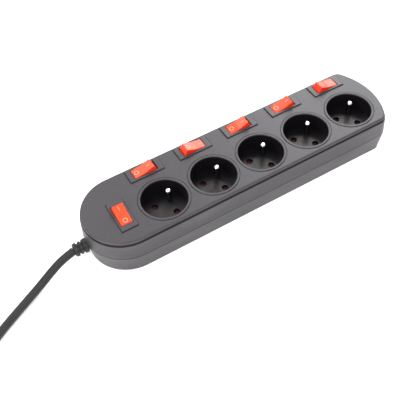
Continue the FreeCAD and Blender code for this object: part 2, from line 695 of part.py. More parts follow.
def switch_places():
    """Each switch's position, whether it is turned, and whether it is on; main first."""
    places = [(MAIN_SWITCH_X, MAIN_SWITCH_Y, True, False)]
    for x, is_on in zip(socket_xs(), SOCKET_IS_ON):
        places.append((x, SWITCH_Y, False, is_on))
    return places


def switch_terminals():
    """Three terminals for each of the six switches."""
    shapes = []
    for x, y, turned, _ in switch_places():
        shapes += [place_switch(t, x, y, turned) for t in terminal_shapes()]
    return Part.makeCompound(shapes)


def indicator_lamps():
    """One neon lamp for each of the six switches."""
    return Part.makeCompound([place_switch(indicator_lamp(), x, y, turned)
                              for x, y, turned, _ in switch_places()])


def surge_board():
    """Small circuit board between the first two switches, with tabs on both rails."""
    x = between_sockets()[0]
    y0 = 13.0
    half = BOARD_LENGTH / 2
    board = box(x - half, x + half, y0, y0 + BOARD_WIDTH, BOARD_Z, BOARD_Z + BOARD_THICKNESS)
    rail_top = RAIL_Z + RAIL_HEIGHT
    live_tab = box(x + 3, x + 6, LIVE_RAIL_Y, LIVE_RAIL_Y + STRIP_THICKNESS, rail_top, BOARD_Z + 1)
    lamp_tab = box(x - 6, x - 3, LAMP_RAIL_Y, LAMP_RAIL_Y + STRIP_THICKNESS, rail_top, BOARD_Z + 1)
    return fuse([board, live_tab, lamp_tab])


def varistors():
    """Three varistor discs standing on the surge board."""
    x = between_sockets()[0]
    top = BOARD_Z + BOARD_THICKNESS
    discs = []
    for step in (-1, 0, 1):
        cx = x + step * VARISTOR_SPACING
        centre = V(cx - VARISTOR_THICKNESS / 2, 22.0, top + VARISTOR_RADIUS + 1.5)
        disc = Part.makeCylinder(VARISTOR_RADIUS, VARISTOR_THICKNESS, centre, V(1, 0, 0))
        disc = disc.makeFillet(1.2, disc.Edges[:1] + disc.Edges[2:])
        legs = [box(cx - 0.4, cx + 0.4, y, y + 0.8, top, top + 4.5) for y in (18.6, 24.6)]
        discs.append(fuse([disc] + legs))
    return Part.makeCompound(discs)


def routed_tube(points, radius):
    """Round tube on straight runs joined by tangent arcs; returns solid, length, radii."""
    pts = [V(*p) for p in points]
    edges = []
    radii = []
    start = pts[0]
    for before, corner, after in zip(pts, pts[1:], pts[2:]):
        inward = (before - corner).normalize()
        outward = (after - corner).normalize()
        turn = math.pi - inward.getAngle(outward)
        reach = 0.45 * min((before - corner).Length, (after - corner).Length)
        bend = reach / math.tan(turn / 2)
        radii.append(round(bend, 1))
        a = corner + inward * reach
        b = corner + outward * reach
        bisector = (inward + outward).normalize()
        depth = bend / math.cos(turn / 2) - bend
        edges.append(Part.LineSegment(start, a).toShape())
        edges.append(Part.Arc(a, corner + bisector * depth, b).toShape())
        start = b
    edges.append(Part.LineSegment(start, pts[-1]).toShape())
    path = Part.Wire(edges)
    profile = Part.Wire(Part.makeCircle(radius, pts[0], pts[1] - pts[0]))
    tube = path.makePipeShell([profile], True, False)
    return tube, path.Length, radii


def wire(points):
    """Insulated wire inside the case."""
    return routed_tube(points, WIRE_RADIUS)[0]


def earth_wire():
    """Earth core from the cord to the earth bar's tab."""
    bar_x = socket_xs()[0] + earth_offset()[0] - 20
    z = EARTH_BAR_Z + EARTH_BAR_THICKNESS + WIRE_RADIUS
    return wire([(CORES_X, CORE_OUT, CORE_LOW_Z), (-119.0, 3.5, 14.9), (-114.0, 6.5, 14.9),
                 (-105.0, 6.5, 15.1), (-97.0, 3.2, z), (bar_x, EARTH_BAR_Y, z)])


def live_wires():
    """Live core to the main switch, and the lead from it to the live rail."""
    rail_x = socket_xs()[0] + TERMINAL_THICKNESS / 2 - 10
    feed = wire([(CORES_X, 0.0, CORE_TOP_Z), (-119.5, -0.4, 17.0), (-117.0, -3.8, 15.8),
                 (MAIN_SWITCH_X - TERMINAL_WIDTH / 2, MAIN_SWITCH_Y, 15.5)])
    load_y = MAIN_SWITCH_Y - TERMINAL_SPACING
    lead = wire([(MAIN_SWITCH_X, load_y, TERMINAL_BOTTOM), (MAIN_SWITCH_X, load_y, 7.5),
                 (-106.0, -8.0, 5.5), (-104.0, 6.0, 5.5), (-99.0, 15.0, 6.5), (-91.5, 21.0, 9.0),
                 (rail_x, LIVE_RAIL_Y + STRIP_THICKNESS / 2, RAIL_Z + 2.3)])
    return Part.makeCompound([feed, lead])


def neutral_wires():
    """Neutral core to the neutral strip, and the lead to the lamp rail."""
    dx, dy = entry_offset(1)
    z = STRIP_Z + STRIP_THICKNESS + WIRE_RADIUS
    feed = wire([(CORES_X, -CORE_OUT, CORE_LOW_Z), (-120.5, -3.5, 13.5), (-119.5, -10.0, 10.0),
                 (-117.0, -18.5, 7.5), (-109.0, -22.0, 6.3), (-100.0, -19.5, z),
                 (socket_xs()[0] + dx - 22.6, SOCKET_Y + dy, z)])
    lamp_y = MAIN_SWITCH_Y + TERMINAL_SPACING
    rail_x = socket_xs()[0] + TERMINAL_SPACING + TERMINAL_THICKNESS / 2 - 10
    lead = wire([(MAIN_SWITCH_X, lamp_y, TERMINAL_BOTTOM), (-110.5, 5.5, 9.0),
                 (-107.0, 12.0, 10.0), (-97.0, 15.0, 11.0), (-87.0, 17.0, 11.5),
                 (rail_x, LAMP_RAIL_Y + STRIP_THICKNESS / 2, RAIL_Z + 2.3)])
    return Part.makeCompound([feed, lead])


def turned_x(profile, x_sign=1):
    """Solid turned about the X axis from (distance along, radius) steps."""
    points = [V(profile[0][0], 0, 0)]
    points += [V(x, 0, r) for x, r in profile]
    points += [V(profile[-1][0], 0, 0), V(profile[0][0], 0, 0)]
    face = Part.Face(Part.makePolygon(points))
    return face.revolve(V(0, 0, 0), V(x_sign, 0, 0), 360)


def cord_gland():
    """Ribbed rubber sleeve held in the end wall by a flange on each side."""
    wall_out = CASE_LEFT - SEAM_BULGE
    wall_in = CASE_LEFT + WALL + 0.6
    neck = GLAND_NECK_RADIUS
    flange = GLAND_FLANGE_RADIUS
    tip = GLAND_TIP_X
    profile = [
        (tip, 4.7), (tip + 0.8, 5.5), (tip + 2.4, 5.9), (tip + 3.4, 5.7), (tip + 3.6, 4.4),
        (tip + 4.8, 4.4), (tip + 5.0, 5.5), (tip + 6.6, 5.7), (tip + 6.8, 4.6),
        (tip + 8.0, 4.6), (tip + 8.2, flange - 0.2), (wall_out, flange), (wall_out, neck),
        (wall_in, neck), (wall_in, flange), (wall_in + 2.5, flange), (wall_in + 2.5, 4.4),
        (wall_in + 6.0, 4.2),
    ]
    gland = turned_x(profile)
    gland.translate(V(0, 0, CORD_Z))
    return gland


def inner_cord_end():
    """Last stretch of the cord's jacket, from the gland to where its cores part."""
    start = CASE_LEFT + WALL + 6.6
    return Part.makeCylinder(CORD_DIAMETER / 2, CORES_X - start, V(start, 0, CORD_Z), V(1, 0, 0))


def cord_clamp():
    """Bar across the cord, screwed down on two posts."""
    half_y = CLAMP_POST_Y + 3
    low = CORD_Z
    bar = box(CLAMP_X - 3, CLAMP_X + 3, -half_y, half_y, low, CORD_Z + CORD_DIAMETER / 2 + 2)
    groove = Part.makeCylinder(CORD_DIAMETER / 2, 12, V(CLAMP_X - 6, 0, CORD_Z), V(1, 0, 0))
    bar = bar.cut(groove)
    for y in (-CLAMP_POST_Y, CLAMP_POST_Y):
        bar = bar.cut(cyl(1.6, low - 1, CORD_Z + 8, CLAMP_X, y))
    return bar


def clamp_screws():
    """Two screws that hold the cord clamp."""
    top = CORD_Z + CORD_DIAMETER / 2 + 2
    screws = []
    for y in (-CLAMP_POST_Y, CLAMP_POST_Y):
        head = cyl(2.6, top, top + 1.8, CLAMP_X, y)
        shank = cyl(PILOT_RADIUS - 0.1, CORD_Z - 8, top + 0.5, CLAMP_X, y)
        slot = box(CLAMP_X - 3, CLAMP_X + 3, y - 0.4, y + 0.4, top + 1.0, top + 3)
        screws.append(fuse([head, shank]).cut(slot))
    return Part.makeCompound(screws)


def cord_coil():
    """Outer shape of the coil of put-away cord."""
    half = COIL_BAND / 2
    edge = 3.0
    z1 = COIL_HEIGHT
    r0 = COIL_MID_RADIUS - half
    r1 = COIL_MID_RADIUS + half
    points = [V(r0 + edge, 0, 0), V(r1 - edge, 0, 0), V(r1, 0, edge), V(r1, 0, z1 - edge),
              V(r1 - edge, 0, z1), V(r0 + edge, 0, z1), V(r0, 0, z1 - edge), V(r0, 0, edge),
              V(r0 + edge, 0, 0)]
    ring = Part.Face(Part.makePolygon(points)).revolve(V(0, 0, 0), UP, 360)
    ring.translate(V(COIL_CENTRE[0], COIL_CENTRE[1], 0))
    return ring


def coil_tie():
    """Band round the coil's turns on the side away from the strip."""
    half = COIL_BAND / 2 + 0.8
    x = COIL_CENTRE[0] + COIL_MID_RADIUS * math.cos(math.radians(30))
    y = COIL_CENTRE[1] + COIL_MID_RADIUS * math.sin(math.radians(30))
    outer = box(-half, half, -2.5, 2.5, 0, COIL_HEIGHT + 0.8)
    inner = box(-half + 0.8, half - 0.8, -3, 3, 0, COIL_HEIGHT)
    band = outer.cut(inner)
    floor = box(-half, half, -2.5, 2.5, 0, 0.6)
    clear = box(-half + 3.6, half - 3.6, -3, 3, -1, 2)
    band = fuse([band, floor.cut(clear)])
    band.rotate(V(0, 0, 0), UP, 30)
    band.translate(V(x, y, 0))
    ring = cord_coil()
    return band.cut(ring)


def place_plug(shape):
    """Moves a plug piece from its own frame, pins along +X, to where the plug lies."""
    shape = shape.copy()
    shape.rotate(V(0, 0, 0), UP, PLUG_ANGLE)
    shape.translate(V(*TAIL_ROUTE[-1]))
    return shape


def plug_body():
    """Round plug with a tapered grip and a hole for a socket's earth pin."""
    end = PLUG_BODY_LENGTH
    profile = [
        (0, 4.6), (9, 5.4), (9.5, 7.5), (14, 9.0), (22, 10.5), (24.5, PLUG_FACE_RADIUS - 1.2),
        (25.5, PLUG_FACE_RADIUS), (end - 0.8, PLUG_FACE_RADIUS), (end, PLUG_FACE_RADIUS - 0.8),
    ]
    body = turned_x(profile)
    hole = Part.makeCylinder(3.0, 16.5, V(end - 16, 0, EARTH_PIN_OFFSET), V(1, 0, 0))
    body = body.cut(hole)
    for side in (-1, 1):
        notch = box(end - 13.5, end + 1, -3.3, 3.3, PLUG_FACE_RADIUS - 2.6, PLUG_FACE_RADIUS + 1)
        if side < 0:
            notch.rotate(V(0, 0, 0), V(1, 0, 0), 180)
        body = body.cut(notch)
    return place_plug(body)


def plug_pins():
    """Two round pins with domed tips."""
    pins = []
    for side in (-1, 1):
        y = side * PIN_SPACING / 2
        start = V(PLUG_BODY_LENGTH, y, 0)
        pin = Part.makeCylinder(PLUG_PIN_RADIUS, PLUG_PIN_LENGTH, start, V(1, 0, 0))
        tip = PLUG_BODY_LENGTH + PLUG_PIN_LENGTH
        edges = [e for e in pin.Edges if e.BoundBox.XMin > tip - 0.01]
        pins.append(place_plug(pin.makeFillet(PLUG_PIN_RADIUS * 0.6, edges)))
    return Part.makeCompound(pins)


def plug_earth_contacts():
    """Sprung earth strips at the plug's top and bottom edges."""
    strips = []
    for side in (-1, 1):
        end = PLUG_BODY_LENGTH
        strip = box(end - 13.5, end - 1, -2.6, 2.6, PLUG_FACE_RADIUS - 2.6, PLUG_FACE_RADIUS - 1.4)
        if side < 0:
            strip.rotate(V(0, 0, 0), V(1, 0, 0), 180)
        strips.append(place_plug(strip))
    return Part.makeCompound(strips)


def cord_pieces():
    """The uncoiled stretch, the coil and the tail to the plug; prints their measures."""
    radius = CORD_DIAMETER / 2
    section = math.pi * radius ** 2
    shapes = {"cord_coil": cord_coil()}
    for name, route in (("cord_tube", CORD_ROUTE), ("cord_tail", TAIL_ROUTE)):
        tube, length, radii = routed_tube(route, radius)
        shapes[name] = tube
        print(name, "length", round(length, 1), "radii", radii,
              "volume", round(tube.Volume, 1), "section x length", round(section * length, 1))
    return shapes


def build_all():
    """Every sub-part by name."""
    shapes = {
        "top_cover": top_cover(),
        "bottom_cover": bottom_cover(),
        "cover_screws": cover_screws(),
        "earth_pins": earth_pins(),
        "earth_busbar": earth_busbar(),
        "neutral_busbar": neutral_busbar(),
        "live_busbar": live_busbar(),
        "lamp_busbar": lamp_busbar(),
        "switch_terminals": switch_terminals(),
        "indicator_lamps": indicator_lamps(),
        "surge_board": surge_board(),
        "varistors": varistors(),
        "earth_wire": earth_wire(),
        "live_wires": live_wires(),
        "neutral_wires": neutral_wires(),
        "cord_gland": cord_gland(),
        "inner_cord_end": inner_cord_end(),
        "cord_clamp": cord_clamp(),
        "clamp_screws": clamp_screws(),
        "coil_tie": coil_tie(),
        "plug_body": plug_body(),
        "plug_pins": plug_pins(),
        "plug_earth_contacts": plug_earth_contacts(),
    }
    shapes.update(cord_pieces())
    for i, x in enumerate(socket_xs(), start=1):
        shapes[f"socket_insert_{i}"] = socket_insert(x)
        shapes[f"shutter_{i}"] = shutter(x)
        shapes[f"live_contact_{i}"] = live_contact(x)
    names = ["main_switch"] + [f"socket_switch_{i + 1}" for i in range(SOCKET_COUNT)]
    for name, (x, y, turned, is_on) in zip(names, switch_places()):
        shapes[name + "_housing"] = place_switch(switch_housing(), x, y, turned)
        shapes[name + "_rocker"] = place_switch(switch_rocker(is_on), x, y, turned)
        shapes[name + "_blade"] = place_switch(switch_blade(is_on), x, y, turned)
    return shapes


def main():
    """Writes one STEP file for each sub-part."""
    os.makedirs("parts", exist_ok=True)
    for name, shape in build_all().items():
        shape.exportStep(f"parts/{name}.step")
        solids = len(shape.Solids)
        print(f"{name:28s} solids {solids:2d} valid {shape.isValid()} volume {shape.Volume:.0f}")


main()
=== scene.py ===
"""Dresses a five-way socket strip with individually switched sockets around its frame.

Every piece is in metres in the frame's own axes: +X along the strip from the cord end,
+Y towards the row of socket switches, +Z up, origin at the centre of the underside.
"""

from __future__ import annotations

import json
import logging
import math
from dataclasses import dataclass, field
from enum import Enum
from typing import Any, Callable, Mapping

import bmesh
import bpy
from mathutils import Matrix, Vector

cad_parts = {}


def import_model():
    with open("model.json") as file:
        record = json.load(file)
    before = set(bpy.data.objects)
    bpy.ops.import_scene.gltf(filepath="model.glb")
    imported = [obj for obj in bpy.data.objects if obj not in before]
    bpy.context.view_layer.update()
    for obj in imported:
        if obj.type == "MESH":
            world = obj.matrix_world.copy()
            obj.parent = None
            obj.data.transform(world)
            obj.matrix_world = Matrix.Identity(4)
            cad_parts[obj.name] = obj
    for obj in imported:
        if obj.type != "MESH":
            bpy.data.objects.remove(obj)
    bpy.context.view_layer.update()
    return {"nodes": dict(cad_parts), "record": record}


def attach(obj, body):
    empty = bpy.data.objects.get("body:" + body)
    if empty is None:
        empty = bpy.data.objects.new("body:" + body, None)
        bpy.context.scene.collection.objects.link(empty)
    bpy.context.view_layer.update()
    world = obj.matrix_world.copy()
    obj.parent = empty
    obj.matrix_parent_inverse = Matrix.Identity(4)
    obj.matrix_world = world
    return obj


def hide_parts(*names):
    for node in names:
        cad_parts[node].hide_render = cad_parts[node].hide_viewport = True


LOG = logging.getLogger("strip")
SCREW_X = (-0.09835, -0.00535, 0.08765)
FRONT_SCREW_Y = -0.0275

Colour = tuple[float, float, float]
Point = tuple[float, float, float]


class Rest(Enum):
    """Where a rocker stands: which of its ends is pressed down."""

    OFF = -1
    ON = 1


class Mark(Enum):
    """Signs printed on a rocker."""

    RING = "ring"
    STROKE = "stroke"


class Slot(Enum):
    """Material slots of the record that the frame's nodes use."""

    CASE = "case_plastic"
    WELL = "well_plastic"
    SHUTTER = "shutter_plastic"
    BEZEL = "bezel_plastic"
    ROCKER = "rocker_plastic"
    BLADE = "blade_metal"
    PIN = "pin_metal"
    BRASS = "contact_brass"
    LAMP = "lamp_glass"
    BOARD = "board_laminate"
    VARISTOR = "varistor_coat"
    EARTH = "earth_insulation"
    LIVE = "live_insulation"
    NEUTRAL = "neutral_insulation"
    CORD = "cord_jacket"
    CLAMP = "clamp_plastic"
    TIE = "tie_strap"
    SCREW = "screw_steel"
    PLUG = "plug_plastic"


class Value:
    """A number on a node socket that Python arithmetic can use."""

    def __init__(self, graph: "Graph", socket: bpy.types.NodeSocket) -> None:
        """Wraps one output socket of a graph."""
        self.graph = graph
        self.socket = socket

    def __add__(self, other: "Value | float") -> "Value":
        """Sum of the two."""
        return self.graph.math("ADD", self, other)

    __radd__ = __add__

    def __mul__(self, other: "Value | float") -> "Value":
        """Product of the two."""
        return self.graph.math("MULTIPLY", self, other)

    __rmul__ = __mul__

    def __sub__(self, other: "Value | float") -> "Value":
        """This less the other."""
        return self.graph.math("SUBTRACT", self, other)

    def __rsub__(self, other: "Value | float") -> "Value":
        """The other less this."""
        return self.graph.math("SUBTRACT", other, self)

    def sine(self) -> "Value":
        """Sine of this, in radians."""
        return self.graph.math("SINE", self)

    def larger(self, other: "Value | float") -> "Value":
        """The larger of the two."""
        return self.graph.math("MAXIMUM", self, other)

    def smooth(self, low: float, high: float) -> "Value":
        """Smooth step from 0 at low to 1 at high.

        Args:
            low: Value at which the step starts.
            high: Value at which the step ends; may be below low.

        Returns:
            The stepped value, between 0 and 1.
        """
        flip = high < low
        ends = {1: min(low, high), 2: max(low, high)}
        step = self.graph.node(
            "ShaderNodeMapRange", {"interpolation_type": "SMOOTHSTEP"}, {0: self, **ends}
        )
        value = Value(self.graph, step.outputs[0])
        return 1.0 - value if flip else value


class Graph:
    """The node tree of one material while it is being made."""

    def __init__(self, name: str) -> None:
        """Makes an empty material of that name with an output node."""
        self.material = bpy.data.materials.new(name)
        self.material.use_nodes = True
        self.tree = self.material.node_tree
        self.tree.nodes.clear()
        self.output = self.node("ShaderNodeOutputMaterial")
        self._coordinates: bpy.types.NodeSocket | None = None

    def feed(self, target: bpy.types.NodeSocket, item: Any) -> None:
        """Links or sets one input socket.

        Args:
            target: The input socket.
            item: A value, a socket to link, a colour or a plain number.
        """
        if isinstance(item, Value):
            item = item.socket
        if isinstance(item, bpy.types.NodeSocket):
            self.tree.links.new(item, target)
        elif isinstance(item, tuple) and len(item) == 3 and target.type == "RGBA":
            target.default_value = (*item, 1.0)
        else:
            target.default_value = item

    def node(
        self,
        kind: str,
        settings: Mapping[str, Any] | None = None,
        inputs: Mapping[Any, Any] | None = None,
    ) -> bpy.types.Node:
        """Adds a node.

        Args:
            kind: Blender's type name of the node.
            settings: Properties, set before any socket.
            inputs: Values or links by socket name or number.

        Returns:
            The new node.
        """
        made = self.tree.nodes.new(kind)
        for key, value in (settings or {}).items():
            setattr(made, key, value)
        for key, item in (inputs or {}).items():
            self.feed(made.inputs[key], item)
        return made

    def math(self, operation: str, *terms: "Value | float") -> Value:
        """Adds a Math node.

        Args:
            operation: Blender's name of the operation.
            *terms: What it works on, in order.

        Returns:
            The node's result.
        """
        made = self.node("ShaderNodeMath", {"operation": operation}, dict(enumerate(terms)))
        return Value(self, made.outputs[0])

    @property
    def place(self) -> bpy.types.NodeSocket:
        """The point being shaded, in metres, in the piece's own axes."""
        if self._coordinates is None:
            self._coordinates = self.node("ShaderNodeTexCoord").outputs["Object"]
        return self._coordinates

    def stretched(self, factors: Point) -> bpy.types.NodeSocket:
        """The shaded point with each axis scaled."""
        made = self.node(
            "ShaderNodeVectorMath", {"operation": "MULTIPLY"}, {0: self.place, 1: factors}
        )
        return made.outputs[0]

    def axis(self, letter: str) -> Value:
        """One coordinate of the shaded point."""
        split = self.node("ShaderNodeSeparateXYZ", None, {0: self.place})
        return Value(self, split.outputs[letter])

    def facing_up(self) -> Value:
        """How far the surface faces upward: 1 for level faces, 0 for upright ones."""
        normal = self.node("ShaderNodeNewGeometry").outputs["Normal"]
        split = self.node("ShaderNodeSeparateXYZ", None, {0: normal})
        return Value(self, split.outputs["Z"])

    def distance_on_panel(self, point: Point) -> Value:
        """Distance of the shaded point from a point at height zero, measured level."""
        spot = self.stretched((1.0, 1.0, 0.0))
        made = self.node("ShaderNodeVectorMath", {"operation": "DISTANCE"}, {0: spot, 1: point})
        return Value(self, made.outputs["Value"])

    def noise(
        self, scale: float, detail: float = 2.0, vector: bpy.types.NodeSocket | None = None
    ) -> Value:
        """Smooth noise between 0 and 1.

        Args:
            scale: Cells per metre.
            detail: Octaves of finer noise.
            vector: Coordinates to use in place of the shaded point.

        Returns:
            The noise value.
        """
        made = self.node(
            "ShaderNodeTexNoise",
            {"noise_dimensions": "3D"},
            {"Vector": vector or self.place, "Scale": scale, "Detail": detail},
        )
        return Value(self, made.outputs[0])

    def cells(self, scale: float) -> Value:
        """Distance to the nearest of a scatter of points, in cells."""
        made = self.node("ShaderNodeTexVoronoi", None, {"Vector": self.place, "Scale": scale})
        return Value(self, made.outputs["Distance"])

    def blend(self, amount: "Value | float", low: Any, high: Any) -> bpy.types.NodeSocket:
        """Mixes two colours.

        Args:
            amount: 0 for all of low, 1 for all of high.
            low: Colour or socket.
            high: Colour or socket.

        Returns:
            The mixed colour's socket.
        """
        made = self.node("ShaderNodeMix", {"data_type": "RGBA"}, {0: amount, 6: low, 7: high})
        return made.outputs[2]

    def bump(self, height: Value, depth: float) -> bpy.types.NodeSocket:
        """Normal bent by a height between 0 and 1 that stands for depth metres."""
        made = self.node(
            "ShaderNodeBump", None, {"Strength": 1.0, "Distance": depth, "Height": height}
        )
        return made.outputs["Normal"]

    def dent(
        self, hollow: Value, depth: float, strength: float, normal: bpy.types.NodeSocket
    ) -> bpy.types.NodeSocket:
        """Presses a hollow into a normal that is already bent.

        Args:
            hollow: 1 at the hollow's middle, 0 outside it.
            depth: Depth of the hollow in metres.
            strength: How far the normal follows it, 0 to 1.
            normal: The bent normal.

        Returns:
            The new normal's socket.
        """
        made = self.node(
            "ShaderNodeBump",
            {"invert": True},
            {"Strength": strength, "Distance": depth, "Height": hollow, "Normal": normal},
        )
        return made.outputs["Normal"]

    def finish(self, **sockets: Any) -> bpy.types.Material:
        """Ends the tree in a Principled shader.

        Args:
            **sockets: Shader inputs, with underscores for spaces in their names.

        Returns:
            The finished material.
        """
        named = {key.replace("_", " "): item for key, item in sockets.items()}
        shader = self.node("ShaderNodeBsdfPrincipled", None, named)
        self.tree.links.new(shader.outputs[0], self.output.inputs[0])
        return self.material


def darker(tone: Colour, amount: float) -> Colour:
    """Cuts a tone's light.

    Args:
        tone: The colour to change.
        amount: Share of its light to take away; below zero adds light.

    Returns:
        The changed colour.
    """
    return tuple(max(0.0, channel * (1.0 - amount)) for channel in tone)


@dataclass(frozen=True)
class MouldedPlastic:
    """Spark-textured moulded plastic, with optional sink marks over its posts."""

    name: str
    tone: Colour
    roughness: float = 0.5
    grain: float = 1600.0
    grain_depth: float = 0.00006
    drift: float = 0.06
    coat: float = 0.0
    # Amount and tone of a painted sheen on upright faces.
    side_sheen: float = 0.0
    side_sheen_tone: Colour = (0.21, 0.195, 0.185)
    sinks: tuple[Point, ...] = ()
    sink_radius: float = 0.0032
    sink_depth: float = 0.00025
    sink_strength: float = 0.3
    drift_scale: float = 14.0
    mottle_scale: float = 260.0

    def build(self) -> bpy.types.Material:
        """Makes the material."""
        graph = Graph(self.name)
        drift = graph.noise(self.drift_scale, 3.0)
        mottle = graph.noise(self.mottle_scale, 4.0)
        shade = (drift * 0.6 + mottle * 0.4).smooth(0.3, 0.7)
        tone = graph.blend(shade, darker(self.tone, self.drift), darker(self.tone, -self.drift))
        # Painted sheen: upright faces are painted lighter, in smeared patches.
        if self.side_sheen:
            upright = 1.0 - graph.facing_up().smooth(0.3, 0.8)
            sheen_patches = graph.noise(38.0, 4.0, graph.stretched((0.35, 0.6, 1.6))).smooth(0.42, 0.72)
            tone = graph.blend(sheen_patches * upright * self.side_sheen, tone, self.side_sheen_tone)
        pits = graph.cells(self.grain)
        fine = graph.noise(self.grain * 2.2, 2.0)
        height = pits * 0.7 + fine * 0.3
        normal = graph.bump(height, self.grain_depth)
        if self.sinks:
            normal = self._sunk(graph, normal)
        rough = self.roughness - 0.07 + drift * 0.08 + mottle * 0.06
        return graph.finish(
            Base_Color=tone, Roughness=rough, Coat_Weight=self.coat, Coat_Roughness=0.3,
            Normal=normal,
        )

    def _sunk(self, graph: Graph, normal: bpy.types.NodeSocket) -> bpy.types.NodeSocket:
        """Adds a faint hollow over each post to the bent normal."""
        hollow: Value | None = None
        for spot in self.sinks:
            near = graph.distance_on_panel(spot).smooth(self.sink_radius, 0.0)
            hollow = near if hollow is None else hollow.larger(near)
        return graph.dent(hollow, self.sink_depth, self.sink_strength, normal)


@dataclass(frozen=True)
class WellPlastic:
    """Black moulding whose upward faces are painted lighter on one fixed side of each well.

    The lighter side is a painted pool of light, not wear. It is the side towards the main
    view's camera, and it stays where it is from every other side.
    """

    name: str
    tone: Colour
    painted_light_tone: Colour
    centre: Point
    pitch: float
    front: tuple[float, float] = (-0.454, -0.891)
    fade: tuple[float, float] = (-0.010, 0.006)
    grain: float = 1800.0

    def _towards_front(self, graph: Graph) -> Value:
        """How far a point lies to the front of its own well's axis.

        Args:
            graph: the material being made.

        Returns:
            The distance in metres, below zero behind the axis.
        """
        half = self.pitch / 2
        x = graph.math("WRAP", graph.axis("X"), self.centre[0] + half, self.centre[0] - half)
        y = graph.axis("Y") - self.centre[1]
        return (x - self.centre[0]) * self.front[0] + y * self.front[1]

    def build(self) -> bpy.types.Material:
        """Makes the material."""
        graph = Graph(self.name)
        cloud = graph.noise(75.0, 4.0)
        fine = graph.noise(900.0, 3.0)
        upward = graph.facing_up().smooth(0.6, 0.95)
        near = self._towards_front(graph).smooth(*self.fade)
        # Painted light: upward faces on the near side of each well are painted paler.
        painted_light = upward * near * (cloud * 0.7 + fine * 0.3).smooth(0.2, 0.65)
        tone = graph.blend(painted_light, self.tone, self.painted_light_tone)
        pits = graph.cells(self.grain)
        return graph.finish(
            Base_Color=tone, Roughness=0.46 + cloud * 0.08 - upward * 0.18,
            Specular_IOR_Level=0.3, Normal=graph.bump(pits * 0.7 + fine * 0.3, 0.00004),
        )


@dataclass(frozen=True)
class ClearRed:
    """Tinted clear plastic over a lamp: deep at the sides, painted sheen on top, painted glow."""

    name: str
    side_tone: Colour
    sheen_top_tone: Colour
    glow: Colour
    painted_glow_strength: float
    roughness: float = 0.34

    def build(self) -> bpy.types.Material:
        """Makes the material."""
        graph = Graph(self.name)
        cloud = graph.noise(170.0, 3.0)
        streak = graph.noise(60.0, 2.0, graph.stretched((1.0, 3.0, 3.0)))
        shade = (cloud * 0.5 + streak * 0.5).smooth(0.3, 0.72)
        upward = graph.facing_up().smooth(0.35, 0.95)
        # Painted sheen: top faces take the paler tone, the sides the deep one.
        tone = graph.blend(upward * (0.75 + shade * 0.25), self.side_tone, self.sheen_top_tone)
        # Painted glow: the plastic gives off light of its own.
        glow = graph.blend(shade, darker(self.glow, 0.35), self.glow)
        ripple = graph.bump(graph.noise(420.0, 2.0), 0.00002)
        return graph.finish(
            Base_Color=tone, Roughness=self.roughness + cloud * 0.06, Coat_Weight=0.2,
            Coat_Roughness=0.22, Emission_Color=glow, Emission_Strength=self.painted_glow_strength,
            Specular_IOR_Level=0.35, Normal=ripple,
        )


@dataclass(frozen=True)
class Metal:
    """Bare or plated metal with fine drawing lines along one direction.

    Below a given height, where one is given, the tone is painted nearly black, as painted shade.
    """

    name: str
    tone: Colour
    roughness: float = 0.22
    lines: Point = (1.0, 1.0, 0.06)
    tarnish: float = 0.15
    painted_shade_below: float | None = None

    def build(self) -> bpy.types.Material:
        """Makes the material."""
        graph = Graph(self.name)
        lines = graph.noise(2600.0, 3.0, graph.stretched(self.lines))
        cloud = graph.noise(120.0, 3.0)
        tone = graph.blend(cloud.smooth(0.35, 0.75), self.tone, darker(self.tone, self.tarnish))
        # Painted shade: below the given height the tone turns nearly black.
        if self.painted_shade_below is not None:
            bright = graph.axis("Z").smooth(self.painted_shade_below - 0.001, self.painted_shade_below)
            tone = graph.blend(bright, darker(self.tone, 0.9), tone)
        rough = self.roughness + lines * 0.12 + cloud * 0.08
        normal = graph.bump(lines, 0.00001)
        return graph.finish(
            Base_Color=tone, Metallic=1.0, Roughness=rough, Normal=normal
        )


@dataclass(frozen=True)
class Jacket:
    """Soft black flex jacket or rubber: satin, with a faint skin texture."""

    name: str
    tone: Colour
    roughness: float = 0.42
    skin: float = 900.0
    depth: float = 0.00005

    def build(self) -> bpy.types.Material:
        """Makes the material."""
        graph = Graph(self.name)
        cloud = graph.noise(35.0, 3.0)
        skin = graph.noise(self.skin, 4.0)
        dust = graph.noise(420.0, 5.0).smooth(0.62, 0.8)
        tone = graph.blend(dust * 0.4, self.tone, (0.05, 0.048, 0.05))
        normal = graph.bump(skin, self.depth)
        return graph.finish(
            Base_Color=tone, Roughness=self.roughness + cloud * 0.1 + dust * 0.1,
            Coat_Weight=0.08, Coat_Roughness=0.35, Normal=normal,
        )


@dataclass(frozen=True)
class Glass:
    """Thin clear glass with a hint of colour."""

    name: str
    tone: Colour

    def build(self) -> bpy.types.Material:
        """Makes the material."""
        graph = Graph(self.name)
        cloud = graph.noise(300.0, 2.0)
        tone = graph.blend(cloud, self.tone, darker(self.tone, 0.3))
        return graph.finish(
            Base_Color=tone, Roughness=0.06 + cloud * 0.05, Alpha=0.45 + cloud * 0.1
        )


@dataclass(frozen=True)
class Strap:
    """Woven hook-and-loop strap."""

    name: str
    tone: Colour
    threads: float = 1400.0

    def build(self) -> bpy.types.Material:
        """Makes the material."""
        graph = Graph(self.name)
        across = (graph.axis("X") + graph.axis("Y")) * self.threads
        weave = (across * math.pi).sine() * (graph.axis("Z") * self.threads * math.pi).sine()
        fuzz = graph.noise(2400.0, 3.0)
        height = weave * 0.35 + fuzz * 0.5 + 0.4
        tone = graph.blend(fuzz, self.tone, darker(self.tone, -1.2))
        return graph.finish(
            Base_Color=tone, Roughness=0.85 + fuzz * 0.1, Normal=graph.bump(height, 0.0002)
        )


